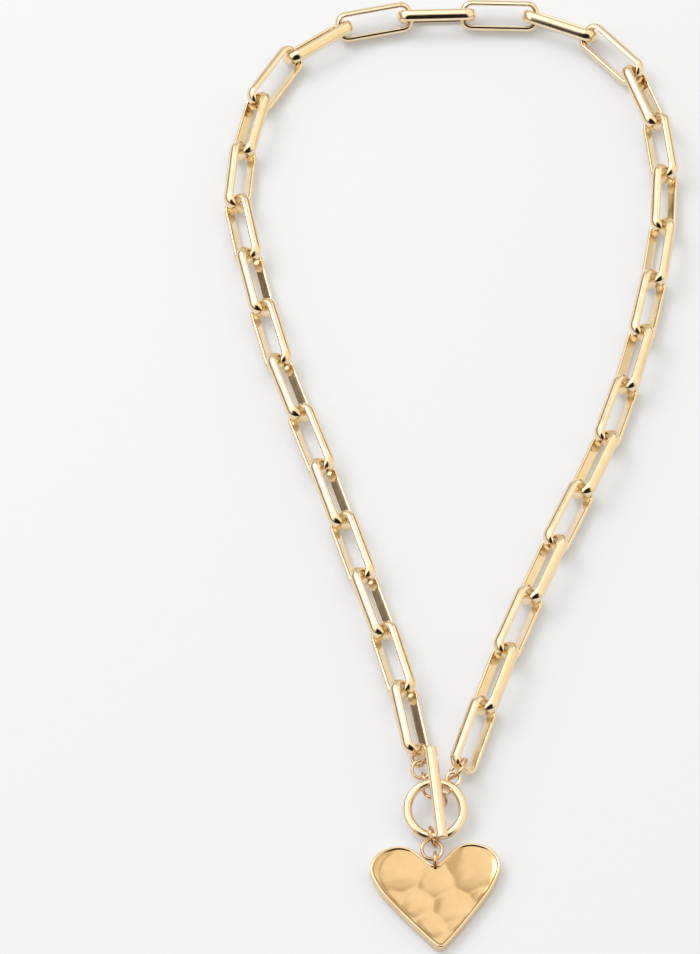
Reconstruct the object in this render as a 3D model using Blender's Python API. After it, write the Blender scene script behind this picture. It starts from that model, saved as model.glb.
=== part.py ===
"""Pendant necklace lying on a flat surface: paperclip links, a toggle clasp and a heart.

Metres, +Z up, surface at z = 0. +Y runs from the heart towards the top link.
Every link, ring, bar and pendant is a separate solid hung on its neighbour.
"""

import math

import bmesh
import bpy
from mathutils import Matrix, Vector

MM = 0.001
UP = Vector((0.0, 0.0, 1.0))
GOLDEN_ANGLE = math.radians(137.5)  # spreads marks evenly over a face

# Links: a flattened wire, flat on the inner side, bent to a long loop with round corners.
WIRE_THICK = 1.35 * MM  # in the plane of the link
WIRE_WIDE = 2.8 * MM  # across the plane of the link
LINK_WIDTH = 7.0 * MM  # outside, across the link
LINK_PITCH = 13.97 * MM  # from one interlock to the next
INTERLOCK_SLACK = 1.0 * MM  # play between two linked bows along the chain
LINK_LENGTH = LINK_PITCH + 2 * WIRE_THICK + INTERLOCK_SLACK
CORNER_RADIUS = 2.05 * MM  # of the wire's centre line
CORNER_STEPS = 3
LEFT_LINKS = 15
RIGHT_LINKS = 16
CHAIN_HEIGHT = 3.35 * MM  # chain axis above the surface

# Lean of the links: even ones lift their inner side, odd ones their outer side.
LEAN = math.radians(46.0)
TOP_EXTRA_LEAN = math.radians(12.0)  # the top link stands steeper
STEEP_LINKS = 3  # links over which the extra lean dies away

# Route of the chain axis on the surface, from the left end over the top to the right end.
ROUTE_MM = (
    (-7.5, -80.0),
    (-8.6, -73.0),
    (-12.3, -55.0),
    (-19.5, -32.0),
    (-29.0, -2.5),
    (-37.5, 22.0),
    (-43.5, 46.5),
    (-46.4, 61.0),
    (-45.4, 74.0),
    (-42.6, 87.5),
    (-35.2, 100.3),
    (-24.6, 108.4),
    (-10.3, 111.9),
    (4.8, 112.4),
    (19.8, 111.7),
    (32.4, 105.8),
    (41.0, 95.0),
    (45.2, 81.5),
    (46.4, 68.0),
    (45.3, 54.2),
    (40.6, 30.0),
    (32.2, 2.0),
    (20.5, -24.5),
    (9.6, -51.0),
    (1.0, -76.2),
    (-1.2, -83.0),
)
TOP_LINK_START = 12.035  # place on the route, in control points, of the top link's left end

# Jump rings: round wire bent to a ring with a fine cut.
RING_WIRE = 0.7 * MM
RING_RADIUS = 1.85 * MM  # of the wire's centre line
BIG_RING_WIRE = 0.75 * MM
LINK_RING_RADIUS = 2.22 * MM  # the ring that passes round the left end bow
CONNECTOR_RADIUS = 2.6 * MM  # the ring that passes round the right end bow
PENDANT_RING_RADIUS = 2.05 * MM
RING_CUT = 0.12 * MM
RING_STEPS = 20

# Toggle ring: a round ring with a small cast eye on its rim.
TOGGLE_RADIUS = 5.6 * MM
TOGGLE_TUBE = 2.0 * MM
TOGGLE_CENTRE = Vector((-4.9, -87.0, 3.4)) * MM
TOGGLE_TILT = math.radians(14.0)  # the side towards the chain is lifted
TOGGLE_EYE_ANGLE = math.radians(60.0)
EYE_WIRE = 0.8 * MM
EYE_RADIUS = 1.35 * MM

# Toggle bar: a straight rod across the ring, with an eye under its middle.
BAR_LENGTH = 18.8 * MM
BAR_DIAMETER = 2.4 * MM
BAR_GAP = 0.3 * MM  # between the bar and the ring that it rests on
BAR_SIDES = 20
# In the plane of the toggle ring, from its centre: the bar's middle, and a point its lower end aims at.
BAR_MIDDLE = (0.2 * MM, 2.85 * MM)
BAR_AIM = (1.3 * MM, -6.55 * MM)
BAR_EDGE = 0.2 * MM
BAR_EYE_TURN = math.radians(60.0)  # below the ring's plane, towards the right

# Heart: a cast plate with a raised rim, a hammered face and a standing loop in its notch.
HEART_THICK = 2.4 * MM
HEART_NOTCH = Vector((-5.0, -98.8, 0.0)) * MM
HEART_TURN = math.radians(3.0)
RIM_WIDTH = 0.8 * MM
RIM_HEIGHT = 0.25 * MM
EDGE_ROUND = 0.35 * MM
HEART_MIDDLE = Vector((0.0, -6.5)) * MM  # relative to the notch
FACE_ROWS = (0.8, 0.58, 0.36, 0.16)  # rows of the hammered face, as shares from middle to rim
HAMMER_DEPTH = 0.3 * MM
HAMMER_MARKS = 26
HAMMER_SPACING = 2.6 * MM
HAMMER_REACH = 3.4 * MM
LOOP_WIRE = 0.9 * MM
LOOP_RADIUS = 1.5 * MM
LOOP_CENTRE = Vector((-5.0, -97.9, 2.1)) * MM

# Right half of the heart's outline, from the tip up to the notch, relative to the notch.
HEART_HALF_MM = (
    (0.0, -18.4),
    (1.3, -17.7),
    (4.6, -14.0),
    (8.2, -9.6),
    (11.3, -5.4),
    (13.0, -1.4),
    (12.6, 1.3),
    (10.9, 3.4),
    (7.6, 4.5),
    (4.6, 3.8),
    (2.2, 1.6),
    (0.0, 0.0),
)
HEART_SPLITS = 3  # outline points per control point

# Small rings between the left end link and the bar's eye: centre, and the way the flat side faces.
TAIL_RINGS = (
    ("tail_ring_1", (-8.0, -74.4, 3.0), (-0.78, -0.21, 0.59)),
    ("tail_ring_2", (-7.6, -77.3, 2.3), (0.0, -0.27, 0.96)),
    ("tail_ring_3", (-6.3, -79.7, 2.0), (0.79, 0.42, 0.45)),
    ("tail_ring_4", (-5.4, -82.2, 2.5), (0.11, 0.16, 0.98)),
    ("tail_ring_5", (-4.0, -84.3, 3.15), (-0.72, -0.62, 0.32)),
)
CONNECTOR_RING = ((-0.4, -78.3, 4.4), (-0.72, 0.44, 0.54))
UPPER_PENDANT_RING = ((-5.4, -92.75, 2.4), (0.95, 0.16, 0.28))
LOWER_PENDANT_RING = ((-5.6, -95.7, 2.65), (0.07, -0.16, 0.99))


def clear_scene():
    for obj in list(bpy.data.objects):
        bpy.data.objects.remove(obj)


def metal(name, colour, roughness):
    material = bpy.data.materials.new(name)
    material.use_nodes = True
    shader = material.node_tree.nodes["Principled BSDF"]
    shader.inputs["Base Color"].default_value = (*colour, 1.0)
    shader.inputs["Roughness"].default_value = roughness
    shader.inputs["Metallic"].default_value = 1.0
    return material


def finished_mesh(name, verts, faces, material, smooth=True):
    """A mesh with its faces turned outwards."""
    mesh = bpy.data.meshes.new(name)
    mesh.from_pydata(verts, [], faces)
    shape = bmesh.new()
    shape.from_mesh(mesh)
    bmesh.ops.recalc_face_normals(shape, faces=shape.faces)
    shape.to_mesh(mesh)
    shape.free()
    for polygon in mesh.polygons:
        polygon.use_smooth = smooth
    mesh.materials.append(material)
    return mesh


def swept_mesh(name, frames, section, closed, material):
    """A section carried along frames of (centre, outward, across)."""
    verts = []
    for centre, outward, across in frames:
        for u, v in section:
            verts.append(centre + outward * u + across * v)
    count = len(section)
    rows = len(frames)
    faces = []
    for row in range(rows if closed else rows - 1):
        after = (row + 1) % rows
        for k in range(count):
            m = (k + 1) % count
            faces.append((row * count + k, row * count + m, after * count + m, after * count + k))
    if not closed:
        faces.append(tuple(range(count)))
        faces.append(tuple(range((rows - 1) * count, rows * count)))
    return finished_mesh(name, verts, faces, material)


def wire_section():
    """Flattened wire: flat towards the inside of the link, rounded towards the outside."""
    t = WIRE_THICK / 2
    w = WIRE_WIDE / 2
    half = ((-t, 0.70 * w), (-0.4 * t, w), (0.45 * t, 0.86 * w), (t, 0.36 * w))
    return [(u, -v) for u, v in half] + [(u, v) for u, v in reversed(half)]


def round_section(diameter, sides=8):
    angles = [math.tau * (k + 0.5) / sides for k in range(sides)]
    return [(diameter / 2 * math.cos(a), diameter / 2 * math.sin(a)) for a in angles]


def link_mesh(material):
    """One link along +X with its first interlock at the origin."""
    half_length = (LINK_LENGTH - WIRE_THICK) / 2
    half_width = (LINK_WIDTH - WIRE_THICK) / 2
    frames = []
    for quarter, (sx, sy) in enumerate(((1, 1), (-1, 1), (-1, -1), (1, -1))):
        corner = Vector((sx * (half_length - CORNER_RADIUS), sy * (half_width - CORNER_RADIUS), 0.0))
        corner.x += LINK_PITCH / 2
        for step in range(CORNER_STEPS + 1):
            angle = math.pi / 2 * (quarter + step / CORNER_STEPS)
            outward = Vector((math.cos(angle), math.sin(angle), 0.0))
            frames.append((corner + outward * CORNER_RADIUS, outward, UP))
    return swept_mesh("link", frames, wire_section(), True, material)


def ring_mesh(name, radius, wire, material, cut=RING_CUT, steps=RING_STEPS, sides=8):
    """A ring in the local XY plane; its cut is at +X."""
    margin = cut / radius / 2
    closed = cut == 0.0
    frames = []
    for step in range(steps if closed else steps + 1):
        angle = margin + (math.tau - 2 * margin) * step / steps
        outward = Vector((math.cos(angle), math.sin(angle), 0.0))
        frames.append((outward * radius, outward, UP))
    return swept_mesh(name, frames, round_section(wire, sides), closed, material)


def facing(normal, across=None):
    """Rotation that turns local Z to the normal and local X as near as it can to across."""
    z = Vector(normal).normalized()
    x = Vector(across if across is not None else (0.0, 1.0, 0.0))
    x = (x - z * x.dot(z)).normalized()
    return Matrix((x, z.cross(x), z)).transposed().to_4x4()


def empty_at(name, matrix):
    empty = bpy.data.objects.new(name, None)
    bpy.context.scene.collection.objects.link(empty)
    empty.empty_display_size = 2 * MM
    empty.matrix_world = matrix
    return empty


def placed(name, mesh, matrix, pivot=None):
    """An object at a world matrix, hung on an empty at its joint when the joint is elsewhere."""
    obj = bpy.data.objects.new(name, mesh)
    bpy.context.scene.collection.objects.link(obj)
    if pivot is None:
        obj.matrix_world = matrix
        return obj
    obj.parent = empty_at("pivot_" + name, Matrix.Translation(pivot))
    obj.matrix_basis = Matrix.Translation(-pivot) @ matrix
    return obj


def joined(obj, other):
    """Melt another object into this one; the other is left as a hidden helper."""
    other.hide_render = True
    other.display_type = "WIRE"
    modifier = obj.modifiers.new("melt_" + other.name, "BOOLEAN")
    modifier.operation = "UNION"
    modifier.solver = "EXACT"
    modifier.object = other


def route_point(place):
    """Point of the smooth curve through the route's control points."""
    last = len(ROUTE_MM) - 2
    index = min(max(int(math.floor(place)), 1), last - 1)
    s = place - index
    p0, p1, p2, p3 = (Vector(ROUTE_MM[index + k]) for k in (-1, 0, 1, 2))
    bend = p1 * 2 + (p2 - p0) * s
    bend += (p0 * 2 - p1 * 5 + p2 * 4 - p3) * s**2
    bend += (p1 * 3 - p0 - p2 * 3 + p3) * s**3
    return Vector((*(bend / 2 * MM), CHAIN_HEIGHT))


def next_place(place, way):
    """The place on the route one link pitch further on, by halving."""
    start = route_point(place)
    near = 0.0
    far = 1.9
    while (route_point(place + way * far) - start).length < LINK_PITCH:
        far += 0.2
    for _ in range(40):
        middle = (near + far) / 2
        if (route_point(place + way * middle) - start).length < LINK_PITCH:
            near = middle
        else:
            far = middle
    return place + way * near


def interlocks(way, count):
    """Interlocks of one half of the chain, starting at the top link."""
    place = TOP_LINK_START
    if way > 0:
        place = next_place(place, way)
    points = [route_point(place)]
    for _ in range(count):
        place = next_place(place, way)
        points.append(route_point(place))
    return points


def link_matrix(start, end, inside, index):
    """A link from one interlock to the next, leaning by its place in the chain."""
    along = (end - start).normalized()
    inner = along.cross(UP)
    if inner.dot(inside) < 0:
        inner = -inner
    lean = LEAN + TOP_EXTRA_LEAN * max(0.0, 1 - index / STEEP_LINKS)
    if index % 2 == 0:
        raised = inner * math.cos(lean) + UP * math.sin(lean)
    else:
        raised = UP * math.cos(lean) - inner * math.sin(lean)
    turn = Matrix((along, raised, along.cross(raised))).transposed().to_4x4()
    return Matrix.Translation(start) @ turn


def build_chain(material):
    """All links; each hangs on the interlock nearer the top link. Returns the two end interlocks."""
    mesh = link_mesh(material)
    left = interlocks(-1, LEFT_LINKS)
    right = interlocks(1, RIGHT_LINKS)
    placed("link_top", mesh, link_matrix(left[0], right[0], -Vector((0, 1, 0)), 0))
    for side, points in (("left", left), ("right", right)):
        for index in range(1, len(points)):
            start = points[index - 1]
            end = points[index]
            # the inside of the loop lies to the left or right of the way walked
            way = (end - start).cross(UP) * (-1 if side == "left" else 1)
            name = f"{side}_link_{index:02d}"
            placed(name, mesh, link_matrix(start, end, way, index))
    return left[-1], right[-1]


def on_toggle(right, up, out):
    """A point in the tilted frame of the toggle ring, from its centre."""
    turn = Matrix.Rotation(TOGGLE_TILT, 3, "X")
    return TOGGLE_CENTRE + turn @ Vector((right, up, out))


def build_toggle_ring(material, pivot):
    turn = Matrix.Rotation(TOGGLE_TILT, 4, "X")
    ring = ring_mesh("toggle_ring", TOGGLE_RADIUS, TOGGLE_TUBE, material, 0.0, 30, 10)
    matrix = Matrix.Translation(TOGGLE_CENTRE) @ turn
    obj = placed("toggle_ring", ring, matrix, pivot)
    reach = TOGGLE_RADIUS + TOGGLE_TUBE / 2 + EYE_RADIUS / 2
    spot = Vector((math.cos(TOGGLE_EYE_ANGLE), math.sin(TOGGLE_EYE_ANGLE), 0.0)) * reach
    eye = ring_mesh("toggle_ring_eye", EYE_RADIUS, EYE_WIRE, material, 0.0, 16)
    joined(obj, placed("toggle_ring_eye", eye, matrix @ Matrix.Translation(spot)))


def build_toggle_bar(material):
    """The bar lies across the ring, from over the tail of the chain to the lower rim."""
    out = (TOGGLE_TUBE + BAR_DIAMETER) / 2 + BAR_GAP
    middle = on_toggle(*BAR_MIDDLE, out)
    along = (on_toggle(*BAR_AIM, out) - middle).normalized()
    outward = Matrix.Rotation(TOGGLE_TILT, 3, "X") @ UP
    sideways = outward.cross(along)
    if sideways.x < 0:
        sideways = -sideways
    towards_eye = sideways * math.cos(BAR_EYE_TURN) - outward * math.sin(BAR_EYE_TURN)
    eye_centre = middle + towards_eye * (BAR_DIAMETER / 2 + EYE_RADIUS - EYE_WIRE / 2)
    bpy.ops.mesh.primitive_cylinder_add(
        vertices=BAR_SIDES, radius=BAR_DIAMETER / 2, depth=BAR_LENGTH
    )
    rod = bpy.context.object.data
    bpy.data.objects.remove(bpy.context.object)
    rod.name = "toggle_bar"
    for polygon in rod.polygons:
        polygon.use_smooth = len(polygon.vertices) == 4
    rod.materials.append(material)
    matrix = Matrix.Translation(middle) @ facing(along, outward)
    obj = placed("toggle_bar", rod, matrix, eye_centre)
    edges = obj.modifiers.new("edges", "BEVEL")
    edges.width = BAR_EDGE
    edges.segments = 1
    edges.limit_method = "ANGLE"
    edges.angle_limit = math.radians(60)
    eye = ring_mesh("toggle_bar_eye", EYE_RADIUS, EYE_WIRE, material, 0.0, 16)
    eye_matrix = Matrix.Translation(eye_centre) @ facing(along, towards_eye)
    joined(obj, placed("toggle_bar_eye", eye, eye_matrix))


def build_jump_ring(name, spot, radius, wire, material, pivot=None):
    centre, normal = spot
    mesh = ring_mesh(name, radius, wire, material)
    placed(name, mesh, Matrix.Translation(Vector(centre) * MM) @ facing(normal), pivot)


def heart_outline():
    """Closed outline: right half from the tip up to the notch, then the left half down."""
    half = [Vector(point) for point in HEART_HALF_MM]
    controls = half + [Vector((-point.x, point.y)) for point in reversed(half[1:-1])]
    count = len(controls)
    outline = []
    for index in range(count):
        p0, p1, p2, p3 = (controls[(index + k) % count] for k in (-1, 0, 1, 2))
        for split in range(HEART_SPLITS):
            s = split / HEART_SPLITS
            bend = p1 * 2 + (p2 - p0) * s
            bend += (p0 * 2 - p1 * 5 + p2 * 4 - p3) * s**2
            bend += (p1 * 3 - p0 - p2 * 3 + p3) * s**3
            outline.append(bend / 2 * MM)
    return outline


def inset(outline, distance):
    """The outline moved inwards along its normals."""
    moved = []
    count = len(outline)
    for index, point in enumerate(outline):
        along = outline[(index + 1) % count] - outline[index - 1]
        outward = Vector((along.y, -along.x)).normalized()
        moved.append(point - outward * distance)
    return moved


def hammered(point):
    """Depth of the hammer marks at a point: shallow round dents that meet in ridges."""
    nearest = 1.0
    for mark in range(HAMMER_MARKS):
        turn = mark * GOLDEN_ANGLE
        reach = HAMMER_SPACING * math.sqrt(mark + 0.4)
        centre = HEART_MIDDLE + reach * Vector((math.cos(turn), math.sin(turn)))
        nearest = min(nearest, ((point - centre).length / HAMMER_REACH) ** 2)
    return HAMMER_DEPTH * (1.0 - nearest)


def heart_mesh(material):
    """A plate from the flat back over the rounded edge and the raised rim to the hammered face."""
    outline = heart_outline()
    face = HEART_THICK - RIM_HEIGHT
    rows = [[Vector((*p, 0.0)) for p in inset(outline, EDGE_ROUND)]]
    rows.append([Vector((*p, EDGE_ROUND)) for p in outline])
    rows.append([Vector((*p, HEART_THICK - EDGE_ROUND)) for p in outline])
    rows.append([Vector((*p, HEART_THICK)) for p in inset(outline, EDGE_ROUND)])
    foot = inset(outline, RIM_WIDTH)
    rows.append([Vector((*p, face)) for p in foot])
    for share in FACE_ROWS:
        row = [HEART_MIDDLE + (p - HEART_MIDDLE) * share for p in foot]
        rows.append([Vector((*p, face - hammered(p))) for p in row])
    verts = [p for row in rows for p in row]
    count = len(outline)
    faces = [tuple(range(count))]
    for row in range(len(rows) - 1):
        for k in range(count):
            m = (k + 1) % count
            faces.append((row * count + k, row * count + m, (row + 1) * count + m, (row + 1) * count + k))
    verts.append(Vector((*HEART_MIDDLE, face - hammered(HEART_MIDDLE))))
    last = (len(rows) - 1) * count
    for k in range(count):
        faces.append((last + k, last + (k + 1) % count, len(verts) - 1))
    return finished_mesh("heart_pendant", verts, faces, material, smooth=False)


def build_heart(material, loop_material):
    matrix = Matrix.Translation(HEART_NOTCH) @ Matrix.Rotation(HEART_TURN, 4, "Z")
    obj = placed("heart_pendant", heart_mesh(material), matrix, LOOP_CENTRE)
    loop = ring_mesh("heart_loop", LOOP_RADIUS, LOOP_WIRE, loop_material, 0.0, 18)
    loop_matrix = Matrix.Translation(LOOP_CENTRE) @ facing((1.0, 0.0, 0.0))
    joined(obj, placed("heart_loop", loop, loop_matrix))


def main():
    clear_scene()
    chain_gold = metal("chain_gold", (0.86, 0.66, 0.36), 0.16)
    ring_gold = metal("ring_gold", (0.82, 0.61, 0.32), 0.2)
    toggle_gold = metal("toggle_gold", (0.88, 0.69, 0.40), 0.14)
    heart_gold = metal("heart_gold", (0.84, 0.62, 0.30), 0.3)
    left_end, right_end = build_chain(chain_gold)
    for name, centre, normal in TAIL_RINGS:
        first = name == TAIL_RINGS[0][0]
        radius = LINK_RING_RADIUS if first else RING_RADIUS
        wire = BIG_RING_WIRE if first else RING_WIRE
        pivot = left_end if first else None
        build_jump_ring(name, (centre, normal), radius, wire, ring_gold, pivot)
    build_toggle_bar(toggle_gold)
    build_jump_ring("connector_ring", CONNECTOR_RING, CONNECTOR_RADIUS, BIG_RING_WIRE, ring_gold)
    build_toggle_ring(toggle_gold, right_end)
    for name, spot, pivot in (
        ("pendant_ring_upper", UPPER_PENDANT_RING, TOGGLE_CENTRE),
        ("pendant_ring_lower", LOWER_PENDANT_RING, Vector(UPPER_PENDANT_RING[0]) * MM),
    ):
        build_jump_ring(name, spot, PENDANT_RING_RADIUS, BIG_RING_WIRE, ring_gold, pivot)
    build_heart(heart_gold, ring_gold)


main()
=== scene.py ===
"""Paperclip chain with a toggle clasp and a hammered heart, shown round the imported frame."""

import math

import bpy
import numpy as np
from mathutils import Matrix, Vector


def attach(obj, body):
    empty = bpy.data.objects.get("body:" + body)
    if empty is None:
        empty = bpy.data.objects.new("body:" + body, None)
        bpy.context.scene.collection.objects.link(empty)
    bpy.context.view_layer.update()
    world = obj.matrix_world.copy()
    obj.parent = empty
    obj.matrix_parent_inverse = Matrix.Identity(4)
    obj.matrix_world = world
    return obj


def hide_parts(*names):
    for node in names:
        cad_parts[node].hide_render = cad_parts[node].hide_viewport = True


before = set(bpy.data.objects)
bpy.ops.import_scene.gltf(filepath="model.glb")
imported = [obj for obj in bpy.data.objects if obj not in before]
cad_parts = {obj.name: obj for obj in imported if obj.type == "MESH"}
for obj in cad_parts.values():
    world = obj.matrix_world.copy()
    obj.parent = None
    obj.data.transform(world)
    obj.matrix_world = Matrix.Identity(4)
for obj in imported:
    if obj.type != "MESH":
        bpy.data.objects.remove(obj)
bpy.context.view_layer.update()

MM = 0.001
UP = Vector((0.0, 0.0, 1.0))
POLISHED_AWAY = 0.93  # what polishing leaves of the section of every wire

# Links
WIRE_THICK = 1.35 * MM
WIRE_WIDE = 2.8 * MM
LINK_WIDTH = 7.0 * MM
LINK_LENGTH = 17.67 * MM
CORNER_RADIUS = 2.05 * MM
CORNER_STEPS = 12
LONG_STEPS = 8  # pieces of each long straight side
SHORT_STEPS = 2  # pieces of each short straight side
# Section of the wire, as shares of half its thickness or of half its width
INNER_FLAT = 0.72  # half width of the flat inner face
EDGE_TOP = 0.55  # depth at which the small inner edge meets the side
DOME_FOOT = 0.5  # depth from which the outer dome rises
DOME_RISE = 0.95  # powers that make the dome fuller than an ellipse
DOME_SPREAD = 0.92
EDGE_STEPS = 5
DOME_STEPS = 20

# Rings
RING_WIRE = 0.7 * MM
RING_RADIUS = 1.85 * MM
BIG_RING_WIRE = 0.75 * MM
LINK_RING_RADIUS = 2.22 * MM
CONNECTOR_RADIUS = 2.6 * MM
PENDANT_RING_RADIUS = 2.05 * MM
RING_CUT = 0.12 * MM
CUT_SOFTENING = 0.12  # length of the softened end at a cut, as a share of the wire
CUT_PROFILE = ((0.0, 0.8), (0.35, 0.93))  # along the softened end: share of its length, size of the section
# Name, centre in millimetres, axis, radius and wire
RINGS = (
    ("tail_ring_1", (-8.0, -74.4, 3.0), (-0.78, -0.21, 0.59), LINK_RING_RADIUS, BIG_RING_WIRE),
    ("tail_ring_2", (-7.6, -77.3, 2.3), (0.0, -0.27, 0.96), RING_RADIUS, RING_WIRE),
    ("tail_ring_3", (-6.3, -79.7, 2.0), (0.79, 0.42, 0.45), RING_RADIUS, RING_WIRE),
    ("tail_ring_4", (-5.4, -82.2, 2.5), (0.11, 0.16, 0.98), RING_RADIUS, RING_WIRE),
    ("tail_ring_5", (-4.0, -84.3, 3.15), (-0.72, -0.62, 0.32), RING_RADIUS, RING_WIRE),
    ("connector_ring", (-0.4, -78.3, 4.4), (-0.72, 0.44, 0.54), CONNECTOR_RADIUS, BIG_RING_WIRE),
    ("pendant_ring_upper", (-5.4, -92.75, 2.4), (0.95, 0.16, 0.28), PENDANT_RING_RADIUS, BIG_RING_WIRE),
    ("pendant_ring_lower", (-5.6, -95.7, 2.65), (0.07, -0.16, 0.99), PENDANT_RING_RADIUS, BIG_RING_WIRE),
)

# Toggle clasp
TOGGLE_RADIUS = 5.6 * MM
TOGGLE_TUBE = 2.0 * MM
TOGGLE_CENTRE = Vector((-4.9, -87.0, 3.4)) * MM
TOGGLE_TILT = math.radians(14.0)
TOGGLE_EYE_ANGLE = math.radians(60.0)
EYE_WIRE = 0.8 * MM
EYE_RADIUS = 1.35 * MM
BAR_LENGTH = 18.8 * MM
BAR_DIAMETER = 2.4 * MM
BAR_GAP = 0.3 * MM
BAR_MIDDLE = (0.2 * MM, 2.85 * MM)  # right and up on the toggle ring
BAR_AIM = (1.3 * MM, -6.55 * MM)  # the bar points this way, right and up on the toggle ring
BAR_EDGE = 0.2 * MM
BAR_DOME = 0.03 * MM  # height of the slight dome on each end
BAR_EYE_TURN = math.radians(60.0)

# Heart
HEART_THICK = 2.4 * MM
HEART_NOTCH = Vector((-5.0, -98.8, 0.0)) * MM
HEART_TURN = math.radians(3.0)
HEART_MIDDLE = Vector((0.0, -6.5)) * MM  # from the notch; the rows of the face close in on it
# Right half from the notch, from the tip up round the lobe and back to the notch
HEART_HALF_MM = (
    (0.0, -18.4),
    (1.3, -17.7),
    (4.6, -14.0),
    (8.2, -9.6),
    (11.3, -5.4),
    (13.0, -1.4),
    (12.6, 1.3),
    (10.9, 3.4),
    (7.6, 4.5),
    (4.6, 3.8),
    (2.2, 1.6),
    (0.0, 0.0),
)
HEART_SPLITS = 9  # pieces of the outline between two of these points
RIM_WIDTH = 0.6 * MM
RIM_HEIGHT = 0.14 * MM
RIM_FOOT = 0.05 * MM  # depth of the rim's inner foot under the face
FOOT_BLEND = 2.5  # rows over which the face rises from that foot
EDGE_ROUND = 0.5 * MM
ROUND_ROWS = 4  # rows of faces on the back's round edge
WALL_ROWS = 4  # rows on the side wall
BEAD_ROWS = 10  # rows over the rim's bead
FACE_ROWS = 34
# Hammer marks from the notch: right, up and reach of each, in millimetres
HAMMER_MARKS = (
    (-8.0, -0.6, 6.4),
    (-0.4, -3.6, 4.6),
    (7.6, -1.2, 6.2),
    (-4.2, -8.2, 4.0),
    (2.6, -9.6, 4.4),
    (9.3, -6.9, 3.2),
    (-8.8, -6.6, 2.8),
    (-1.6, -13.4, 3.4),
    (3.4, -13.6, 2.4),
)
HAMMER_SLOPE = 0.15  # of the surface at the edge of a mark
RIDGE_SOFTNESS = 0.035 * MM  # height over which two marks melt together
LOOP_WIRE = 0.9 * MM
LOOP_RADIUS = 1.5 * MM
LOOP_CENTRE = Vector((-5.0, -97.9, 2.1)) * MM

# Gold: sizes of its patterns, as noise scales per metre
DRIFT_SCALE = 260.0  # the tone drifts slowly over a piece
CLOUD_SCALE = 700.0  # patches that are polished more or less
WAVE_SCALE = 330.0  # soft waves left by the polishing
PIT_SCALE = 5200.0
LINE_SCALES = (260.0, 2600.0, 2600.0)  # polishing lines, drawn out along X
BUMP_HEIGHT = 0.1 * MM

# Studio. Directions on the tent are azimuth from +Y over +X and elevation, in degrees.
# Tent gaps: direction, reach, softness of the edge, shade, strength
TENT_GAPS = (
    ((0.0, 22.0), 30.5, 4.0, (0.50, 0.47, 0.41), 1.0),
    ((95.0, 30.0), 40.0, 14.0, (0.74, 0.67, 0.54), 0.95),
    ((180.0, 28.0), 38.0, 7.0, (0.012, 0.01, 0.01), 1.0),
)
SEAM = (0.16, 0.27, 0.03)  # left edge, right edge and softness of the seam of two cloths, as shares along X
SEAM_SHADE = (0.60, 0.56, 0.48)
HORIZON_BAND = (7.0, 27.0)  # elevations between which the tent goes from its dark foot to white
HORIZON_SHADE = (0.11, 0.09, 0.07)
WORLD_STRENGTH = 1.42
FLOOR_HALF = 9.0
FLOOR_DROP = 0.02 * MM  # keeps the floor clear of the flat backs that lie on it
FLOOR_SHADES = ((0.610, 0.626, 0.660), (0.629, 0.641, 0.670))
FLOOR_GRAIN_SCALE = 900.0
FLOOR_GLOW = 0.20
KEY_AT = (-0.5, 0.35, 0.75)
KEY_SIZE = 0.5
KEY_POWER = 2.5

# Camera
CAMERA_AT = (-0.022, -0.5617, 0.889)
CAMERA_TARGET = (-0.022, -0.0085, 0.0036)
LENS = 188.6
SENSOR_WIDTH = 36.0


# ---------------------------------------------------------------- materials


class Nodes:
    """Short names for adding and linking nodes of one tree."""

    def __init__(self, tree):
        self.tree = tree

    def add(self, kind, **sockets):
        node = self.tree.nodes.new(kind)
        for name, value in sockets.items():
            node.inputs[name.replace("_", " ")].default_value = value
        return node

    def link(self, out, into):
        self.tree.links.new(out, into)

    def noise(self, where, scale, detail=3.0, roughness=0.5):
        node = self.add("ShaderNodeTexNoise", Scale=scale, Detail=detail, Roughness=roughness)
        self.link(where, node.inputs["Vector"])
        return node.outputs["Fac"]

    def spread(self, value, low, high, to_low, to_high):
        node = self.tree.nodes.new("ShaderNodeMapRange")
        for index, number in enumerate((low, high, to_low, to_high)):
            node.inputs[index + 1].default_value = number
        self.link(value, node.inputs[0])
        return node.outputs[0]

    def math(self, operation, first, second):
        node = self.tree.nodes.new("ShaderNodeMath")
        node.operation = operation
        for index, item in enumerate((first, second)):
            if isinstance(item, (int, float)):
                node.inputs[index].default_value = item
            else:
                self.link(item, node.inputs[index])
        return node.outputs[0]

    def mix(self, share, first, second):
        node = self.tree.nodes.new("ShaderNodeMix")
        node.data_type = "RGBA"
        for index, item in ((0, share), (6, first), (7, second)):
            if isinstance(item, (int, float)):
                node.inputs[index].default_value = item
            elif isinstance(item, tuple):
                node.inputs[index].default_value = (*item, 1.0)
            else:
                self.link(item, node.inputs[index])
        return node.outputs[2]


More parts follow.
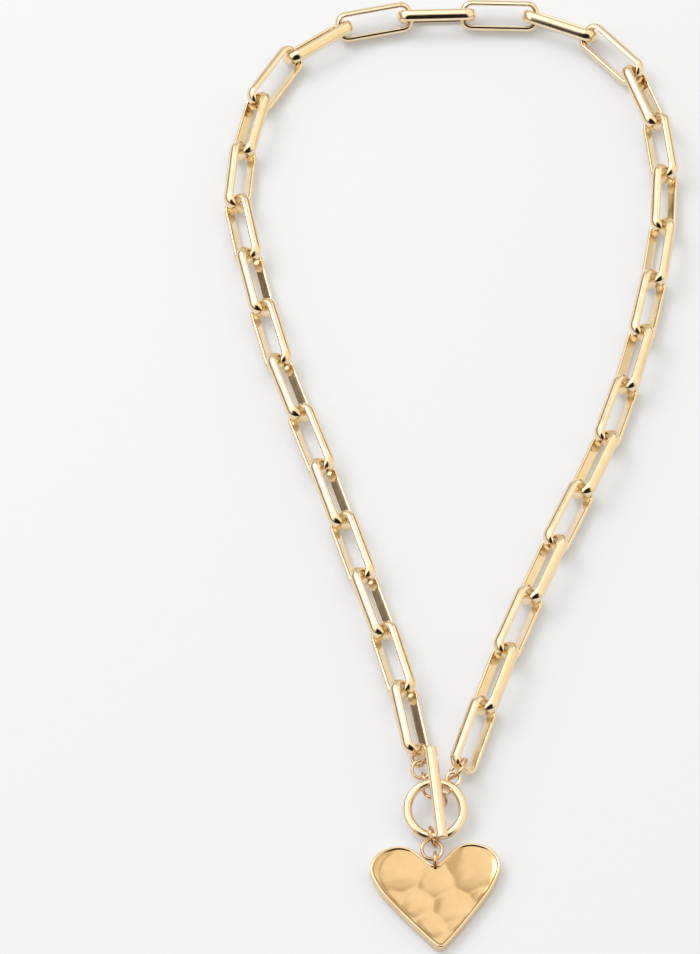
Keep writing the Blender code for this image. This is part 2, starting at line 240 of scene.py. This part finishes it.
def gold(name, light, deep, roughness, waviness, grain, scratch=0.03):
    """Plated gold: tone that drifts over each piece, polishing lines, soft waves and fine pits."""
    material = bpy.data.materials.new(name)
    material.use_nodes = True
    nodes = Nodes(material.node_tree)
    shader = material.node_tree.nodes["Principled BSDF"]
    shader.inputs["Metallic"].default_value = 1.0
    where = nodes.add("ShaderNodeTexCoord").outputs["Object"]
    random = nodes.add("ShaderNodeObjectInfo").outputs["Random"]
    shifted = nodes.add("ShaderNodeVectorMath")
    shifted.operation = "ADD"
    nodes.link(where, shifted.inputs[0])
    nodes.link(random, shifted.inputs[1])
    place = shifted.outputs[0]

    drift = nodes.spread(nodes.noise(place, DRIFT_SCALE, 2.0), 0.3, 0.7, 0.0, 0.75)
    tone = nodes.math("ADD", drift, nodes.math("MULTIPLY", random, 0.25))
    pits = nodes.noise(place, PIT_SCALE, 4.0, 0.6)
    pitted = nodes.mix(nodes.spread(pits, 0.62, 0.74, 0.0, 0.22), nodes.mix(tone, light, deep), deep)
    nodes.link(pitted, shader.inputs["Base Color"])

    stretch = nodes.add("ShaderNodeMapping", Scale=LINE_SCALES)
    nodes.link(place, stretch.inputs["Vector"])
    lines = nodes.noise(stretch.outputs[0], 1.0, 3.0, 0.65)
    clouds = nodes.noise(place, CLOUD_SCALE, 3.0)
    rough = nodes.spread(clouds, 0.3, 0.7, roughness * 0.8, roughness * 1.25)
    lined = nodes.math("ADD", rough, nodes.spread(lines, 0.35, 0.75, 0.0, 0.06))
    nodes.link(lined, shader.inputs["Roughness"])

    height = nodes.math("MULTIPLY", nodes.noise(place, WAVE_SCALE, 1.0), waviness)
    height = nodes.math("ADD", height, nodes.math("MULTIPLY", lines, scratch))
    height = nodes.math("ADD", height, nodes.math("MULTIPLY", pits, grain))
    bump = nodes.add("ShaderNodeBump", Distance=BUMP_HEIGHT, Strength=1.0)
    nodes.link(height, bump.inputs["Height"])
    nodes.link(bump.outputs[0], shader.inputs["Normal"])
    return material


CHAIN_GOLD = gold("chain_polished_gold", (0.95, 0.79, 0.55), (0.91, 0.71, 0.44), 0.10, 0.35, 0.02)
RING_GOLD = gold("ring_polished_gold", (0.82, 0.56, 0.32), (0.68, 0.41, 0.21), 0.11, 0.10, 0.02)
TOGGLE_GOLD = gold("toggle_polished_gold", (0.95, 0.79, 0.57), (0.90, 0.70, 0.46), 0.07, 0.15, 0.015)
RIM_GOLD = gold("heart_rim_gold", (0.90, 0.70, 0.45), (0.82, 0.59, 0.33), 0.10, 0.2, 0.02)
HEART_GOLD = gold("heart_satin_gold", (0.69, 0.47, 0.235), (0.62, 0.415, 0.195), 0.13, 0.5, 0.03, 0.04)


# ---------------------------------------------------------------- meshes


def new_piece(name, mesh, material, body, *replaced, matrix):
    for polygon in mesh.polygons:
        polygon.use_smooth = True
    if not mesh.materials:
        mesh.materials.append(material)
    piece = bpy.data.objects.new(name, mesh)
    bpy.context.scene.collection.objects.link(piece)
    piece.matrix_world = matrix
    bpy.context.view_layer.update()
    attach(piece, body)
    if replaced:
        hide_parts(*replaced)


def mesh_of(name, verts, faces):
    mesh = bpy.data.meshes.new(name)
    mesh.from_pydata([tuple(v) for v in verts], [], faces)
    mesh.validate()
    mesh.update()
    return mesh


def band(count, row, following):
    """Faces between two closed rows of vertices, given by the rows' numbers."""
    first, second = row * count, following * count
    faces = []
    for k in range(count):
        after = (k + 1) % count
        faces.append((first + k, first + after, second + after, second + k))
    return faces


def swept(name, frames, section, closed):
    """Section carried along frames of (centre, outward, across, size)."""
    verts = []
    for centre, outward, across, size in frames:
        for u, v in section:
            verts.append(centre + outward * (u * size) + across * (v * size))
    count, rows, faces = len(section), len(frames), []
    for row in range(rows if closed else rows - 1):
        faces += band(count, row, (row + 1) % rows)
    if not closed:
        faces.append(tuple(reversed(range(count))))
        faces.append(tuple(range((rows - 1) * count, rows * count)))
    mesh = mesh_of(name, verts, faces)
    start = frames[0][0]
    if (mesh.polygons[0].center - start).dot(mesh.polygons[0].normal) < 0:
        mesh.flip_normals()
    return mesh


def in_plane(angle):
    return Vector((math.cos(angle), math.sin(angle), 0.0))


def wire_section():
    """Flattened wire: flat inner face, small round edges and a full dome outside."""
    thick = WIRE_THICK / 2 * POLISHED_AWAY
    wide = WIRE_WIDE / 2 * POLISHED_AWAY
    flat = [(-thick, share * INNER_FLAT * wide) for share in (-0.9, -0.45, 0.0, 0.45, 0.9)]
    edge = []
    for step in range(1, EDGE_STEPS + 1):
        angle = math.pi / 2 * step / EDGE_STEPS
        depth = EDGE_TOP + (1 - EDGE_TOP) * math.cos(angle)
        edge.append((-depth * thick, (INNER_FLAT + (1 - INNER_FLAT) * math.sin(angle)) * wide))
    dome = []
    for step in range(1, DOME_STEPS):
        angle = math.pi * step / DOME_STEPS
        side = math.copysign(abs(math.cos(angle)) ** DOME_SPREAD, math.cos(angle))
        rise = (1 + DOME_FOOT) * math.sin(angle) ** DOME_RISE - DOME_FOOT
        dome.append((rise * thick, side * wide))
    return flat + edge + dome + [(u, -v) for u, v in reversed(edge)]


def link_mesh():
    half_length = (LINK_LENGTH - WIRE_THICK) / 2 - CORNER_RADIUS
    half_width = (LINK_WIDTH - WIRE_THICK) / 2 - CORNER_RADIUS
    signs = ((1, 1), (-1, 1), (-1, -1), (1, -1))
    corners = [Vector((right * half_length, up * half_width, 0.0)) for right, up in signs]
    frames = []
    for quarter, corner in enumerate(corners):
        for step in range(CORNER_STEPS + 1):
            outward = in_plane(math.pi / 2 * (quarter + step / CORNER_STEPS))
            frames.append((corner + outward * CORNER_RADIUS, outward, UP, 1.0))
        straight = corners[(quarter + 1) % 4] - corner
        steps = LONG_STEPS if quarter % 2 == 0 else SHORT_STEPS
        start, outward = frames[-1][:2]
        for step in range(1, steps):
            frames.append((start + straight * step / steps, outward, UP, 1.0))
    return swept("link", frames, wire_section(), True)


def ring_mesh(name, radius, wire, cut=RING_CUT, steps=56, sides=16):
    """Ring of round wire in the local XY plane, its cut at +X with softened ends."""
    reach = wire * POLISHED_AWAY / 2
    section = [(reach * math.cos(turn), reach * math.sin(turn)) for turn in turns(sides)]
    if cut:
        margin = cut / radius / 2
        soft = wire * CUT_SOFTENING / radius
        start = margin + soft
        ends = [(margin + soft * share, size) for share, size in CUT_PROFILE]
        places = ends + [(start + (math.tau - 2 * start) * k / steps, 1.0) for k in range(steps + 1)]
        places += [(math.tau - angle, size) for angle, size in reversed(ends)]
    else:
        places = [(angle, 1.0) for angle in turns(steps)]
    frames = [(in_plane(angle) * radius, in_plane(angle), UP, size) for angle, size in places]
    return swept(name, frames, section, not cut)


def turns(count):
    """Angles that share out one full turn."""
    return [math.tau * k / count for k in range(count)]


def rod_mesh(name, length, diameter, edge, sides=64):
    """Polished rod along local Z with rounded edges and slightly domed ends."""
    radius, half = diameter / 2, length / 2
    centre_share, dome_steps, edge_steps, wall_steps = 0.12, 8, 6, 24
    end = []
    for k in range(dome_steps + 1):
        share = k / dome_steps
        across = centre_share * radius + (1 - centre_share) * share * (radius - edge)
        end.append((across, half - BAR_DOME * share**2))
    for k in range(1, edge_steps + 1):
        angle = math.pi / 2 * k / edge_steps
        height = half - BAR_DOME - edge + edge * math.cos(angle)
        end.append((radius - edge + edge * math.sin(angle), height))
    wall = [(radius, (half - edge) * (1 - 2 * k / wall_steps)) for k in range(1, wall_steps - 1)]
    profile = end + wall + [(across, -height) for across, height in reversed(end)]
    verts = [
        (across * math.cos(turn), across * math.sin(turn), height)
        for across, height in profile
        for turn in turns(sides)
    ]
    last = len(profile) - 1
    faces = [tuple(range(sides))]
    for row in range(last):
        faces += [(a, d, c, b) for a, b, c, d in band(sides, row, row + 1)]
    faces.append(tuple(reversed(range(last * sides, (last + 1) * sides))))
    return mesh_of(name, verts, faces)


def facing(normal, across=(0.0, 1.0, 0.0)):
    """Turn that brings Z to the normal and X as near as it can to the direction across."""
    z = Vector(normal).normalized()
    x = Vector(across)
    x = (x - z * x.dot(z)).normalized()
    return Matrix((x, z.cross(x), z)).transposed().to_4x4()


def principal_matrix(node):
    """Centre and axes of a CAD node: longest along X, shortest along Z."""
    points = np.array([node.matrix_world @ v.co for v in node.data.vertices])
    points = np.unique(np.round(points, 6), axis=0)
    centre = points.mean(axis=0)
    _, axes = np.linalg.eigh(np.cov((points - centre).T))
    x, y = Vector(axes[:, 2]), Vector(axes[:, 1])
    z = x.cross(y)
    if z.z < 0:
        y, z = -y, -z
    return Matrix.Translation(Vector(centre)) @ Matrix((x, y, z)).transposed().to_4x4()


# ---------------------------------------------------------------- chain and rings


def build_chain():
    shared = link_mesh()
    for name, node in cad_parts.items():
        if "link_" in name and "ring" not in name:
            new_piece(name + "_wire", shared, CHAIN_GOLD, name, name, matrix=principal_matrix(node))


def build_rings():
    for name, centre, normal, radius, wire in RINGS:
        matrix = Matrix.Translation(Vector(centre) * MM) @ facing(normal)
        new_piece(name + "_wire", ring_mesh(name, radius, wire), RING_GOLD, name, name, matrix=matrix)


# ---------------------------------------------------------------- clasp


def on_toggle(right, up, out):
    return TOGGLE_CENTRE + Matrix.Rotation(TOGGLE_TILT, 3, "X") @ Vector((right, up, out))


def eye_mesh(name):
    return ring_mesh(name, EYE_RADIUS, EYE_WIRE, cut=0.0)


def build_toggle():
    matrix = Matrix.Translation(TOGGLE_CENTRE) @ Matrix.Rotation(TOGGLE_TILT, 4, "X")
    ring = ring_mesh("toggle", TOGGLE_RADIUS, TOGGLE_TUBE, cut=0.0, steps=120, sides=40)
    new_piece("toggle_ring_tube", ring, TOGGLE_GOLD, "toggle_ring", "toggle_ring", matrix=matrix)
    spot = in_plane(TOGGLE_EYE_ANGLE) * (TOGGLE_RADIUS + TOGGLE_TUBE / 2 + EYE_RADIUS / 2)
    eye_matrix = matrix @ Matrix.Translation(spot)
    new_piece("toggle_ring_eye", eye_mesh("toggle_eye"), TOGGLE_GOLD, "toggle_ring", matrix=eye_matrix)


def build_bar():
    out = (TOGGLE_TUBE + BAR_DIAMETER) / 2 + BAR_GAP
    middle = on_toggle(*BAR_MIDDLE, out)
    along = (on_toggle(*BAR_AIM, out) - middle).normalized()
    outward = Matrix.Rotation(TOGGLE_TILT, 3, "X") @ UP
    sideways = outward.cross(along)
    if sideways.x < 0:
        sideways = -sideways
    towards_eye = sideways * math.cos(BAR_EYE_TURN) - outward * math.sin(BAR_EYE_TURN)
    eye_centre = middle + towards_eye * (BAR_DIAMETER / 2 + EYE_RADIUS - EYE_WIRE / 2)
    rod = rod_mesh("bar", BAR_LENGTH, BAR_DIAMETER, BAR_EDGE)
    matrix = Matrix.Translation(middle) @ facing(along, outward)
    new_piece("toggle_bar_rod", rod, TOGGLE_GOLD, "toggle_bar", "toggle_bar", matrix=matrix)
    eye_matrix = Matrix.Translation(eye_centre) @ facing(along, towards_eye)
    new_piece("toggle_bar_eye", eye_mesh("bar_eye"), TOGGLE_GOLD, "toggle_bar", matrix=eye_matrix)


# ---------------------------------------------------------------- heart


def heart_outline():
    """Closed smooth curve through the outline's points, both halves."""
    half = [Vector(point) for point in HEART_HALF_MM]
    controls = half + [Vector((-point.x, point.y)) for point in reversed(half[1:-1])]
    count = len(controls)
    outline = []
    for index in range(count):
        p0, p1, p2, p3 = (controls[(index + k) % count] for k in (-1, 0, 1, 2))
        for split in range(HEART_SPLITS):
            s = split / HEART_SPLITS
            bend = p1 * 2 + (p2 - p0) * s
            bend += (p0 * 2 - p1 * 5 + p2 * 4 - p3) * s**2
            bend += (p1 * 3 - p0 - p2 * 3 + p3) * s**3
            outline.append(bend / 2 * MM)
    return outline


def inset(outline, distance):
    moved = []
    count = len(outline)
    for index, point in enumerate(outline):
        along = outline[(index + 1) % count] - outline[index - 1]
        moved.append(point - Vector((along.y, -along.x)).normalized() * distance)
    return moved


def hammered(point):
    """Depth of the hammer marks: shallow round dents that melt together along soft ridges."""
    total = 1.0
    for right, up, reach in HAMMER_MARKS:
        share = (point - Vector((right, up)) * MM).length / (reach * MM)
        depth = HAMMER_SLOPE / 2 * reach * MM * (1.0 - share**2)
        total += math.exp(depth / RIDGE_SOFTNESS)
    return RIDGE_SOFTNESS * math.log(total)


def heart_rows(outline):
    """Closed rows of points from the back, over the side wall and the rim, and over the face."""
    face = HEART_THICK - RIM_HEIGHT
    places = []
    for k in range(ROUND_ROWS + 1):
        angle = math.pi / 2 * k / ROUND_ROWS
        places.append((EDGE_ROUND * (1 - math.sin(angle)), EDGE_ROUND * (1 - math.cos(angle))))
    for k in range(1, WALL_ROWS):
        places.append((0.0, EDGE_ROUND + (HEART_THICK - 2 * EDGE_ROUND) * k / WALL_ROWS))
    for k in range(BEAD_ROWS + 1):
        angle = math.pi * k / BEAD_ROWS
        drop = RIM_HEIGHT + RIM_FOOT if k > BEAD_ROWS // 2 else EDGE_ROUND
        places.append((RIM_WIDTH / 2 * (1 - math.cos(angle)), HEART_THICK - drop * (1 - math.sin(angle))))
    rows = [[Vector((*p, height)) for p in inset(outline, distance)] for distance, height in places]

    foot, low = inset(outline, RIM_WIDTH), face - RIM_FOOT
    for step in range(1, FACE_ROWS):
        share = 1 - step / FACE_ROWS
        blend = min(1.0, step / FOOT_BLEND)
        ring = [HEART_MIDDLE + (p - HEART_MIDDLE) * share for p in foot]
        rows.append([Vector((*p, low + (face - hammered(p) - low) * blend)) for p in ring])
    middle = Vector((*HEART_MIDDLE, face - hammered(HEART_MIDDLE)))
    return rows, middle


def heart_mesh():
    outline = heart_outline()
    rows, middle = heart_rows(outline)
    verts = [p for row in rows for p in row] + [middle]
    count = len(outline)
    faces = [tuple(reversed(range(count)))]
    for row in range(len(rows) - 1):
        faces += band(count, row, row + 1)
    last = (len(rows) - 1) * count
    for k in range(count):
        faces.append((last + k, last + (k + 1) % count, len(verts) - 1))
    mesh = mesh_of("heart", verts, faces)
    mesh.materials.append(HEART_GOLD)
    mesh.materials.append(RIM_GOLD)
    for polygon in mesh.polygons[1 : 1 + (ROUND_ROWS + WALL_ROWS + BEAD_ROWS) * count]:
        polygon.material_index = 1
    return mesh


def build_heart():
    matrix = Matrix.Translation(HEART_NOTCH) @ Matrix.Rotation(HEART_TURN, 4, "Z")
    new_piece("heart_plate", heart_mesh(), HEART_GOLD, "heart_pendant", "heart_pendant", matrix=matrix)
    loop = ring_mesh("loop", LOOP_RADIUS, LOOP_WIRE, cut=0.0, steps=64, sides=20)
    loop_matrix = Matrix.Translation(LOOP_CENTRE) @ facing((1.0, 0.0, 0.0))
    new_piece("heart_loop", loop, RING_GOLD, "heart_pendant", matrix=loop_matrix)


# ---------------------------------------------------------------- studio


def build_floor():
    corners = [(right * FLOOR_HALF, up * FLOOR_HALF, 0) for right, up in ((-1, -1), (1, -1), (1, 1), (-1, 1))]
    mesh = mesh_of("floor", corners, [(0, 1, 2, 3)])
    material = bpy.data.materials.new("floor_white")
    material.use_nodes = True
    nodes = Nodes(material.node_tree)
    shader = material.node_tree.nodes["Principled BSDF"]
    shader.inputs["Roughness"].default_value = 0.9
    shader.inputs["Specular IOR Level"].default_value = 0.1
    where = nodes.add("ShaderNodeTexCoord").outputs["Object"]
    grain = nodes.noise(where, FLOOR_GRAIN_SCALE, 4.0)
    nodes.link(nodes.mix(grain, *FLOOR_SHADES), shader.inputs["Base Color"])
    shader.inputs["Emission Color"].default_value = (1.0, 1.0, 1.0, 1.0)
    shader.inputs["Emission Strength"].default_value = FLOOR_GLOW
    mesh.materials.append(material)
    floor = bpy.data.objects.new("floor", mesh)
    floor.location.z = -FLOOR_DROP
    bpy.context.scene.collection.objects.link(floor)


def soft_zone(nodes, direction, centre, reach, softness, strength):
    """Strength inside a round zone of the tent, 0 outside, with a soft edge."""
    azimuth, elevation = (math.radians(angle) for angle in centre)
    dot = nodes.add("ShaderNodeVectorMath")
    dot.operation = "DOT_PRODUCT"
    nodes.link(direction, dot.inputs[0])
    dot.inputs[1].default_value = (
        math.sin(azimuth) * math.cos(elevation),
        math.cos(azimuth) * math.cos(elevation),
        math.sin(elevation),
    )
    low = math.cos(math.radians(reach + softness))
    high = math.cos(math.radians(reach - softness))
    return nodes.spread(dot.outputs["Value"], low, high, 0.0, strength)


def build_world():
    """Light tent: white above a dark foot, with a seam and three gaps: grey behind the necklace,
    warm grey at its right and near black on the camera's side."""
    world = bpy.data.worlds.new("tent")
    bpy.context.scene.world = world
    world.use_nodes = True
    nodes = Nodes(world.node_tree)
    background = world.node_tree.nodes["Background"]
    background.inputs["Strength"].default_value = WORLD_STRENGTH
    direction = nodes.add("ShaderNodeTexCoord").outputs["Generated"]
    split = nodes.add("ShaderNodeSeparateXYZ")
    nodes.link(direction, split.inputs[0])

    low, high = (math.sin(math.radians(angle)) for angle in HORIZON_BAND)
    colour = nodes.mix(nodes.spread(split.outputs["Z"], low, high, 0.0, 1.0), HORIZON_SHADE, (1.0, 1.0, 1.0))
    left, right, softness = SEAM
    past_left = nodes.spread(split.outputs["X"], left - softness, left, 0.0, 1.0)
    before_right = nodes.spread(split.outputs["X"], right, right + softness, 1.0, 0.0)
    colour = nodes.mix(nodes.math("MULTIPLY", past_left, before_right), colour, SEAM_SHADE)
    for centre, reach, softness, shade, strength in TENT_GAPS:
        share = soft_zone(nodes, direction, centre, reach, softness, strength)
        colour = nodes.mix(share, colour, shade)
    nodes.link(colour, background.inputs["Color"])


def place_in_scene(thing, at, target):
    thing.location = at
    thing.rotation_euler = (Vector(target) - Vector(at)).to_track_quat("-Z", "Y").to_euler()
    bpy.context.scene.collection.objects.link(thing)


def build_key_light():
    data = bpy.data.lights.new("key", "AREA")
    data.shape = "DISK"
    data.size = KEY_SIZE
    data.energy = KEY_POWER
    place_in_scene(bpy.data.objects.new("key", data), KEY_AT, (0.0, 0.0, 0.0))


def build_camera():
    data = bpy.data.cameras.new("camera")
    data.lens = LENS
    data.sensor_width = SENSOR_WIDTH
    data.clip_start, data.clip_end = 0.01, 50.0
    camera = bpy.data.objects.new("camera", data)
    place_in_scene(camera, CAMERA_AT, CAMERA_TARGET)
    bpy.context.scene.camera = camera


build_camera()
build_chain()
build_rings()
build_toggle()
build_bar()
build_heart()
build_floor()
build_world()
build_key_light()
bpy.context.scene.view_settings.view_transform = "Standard"
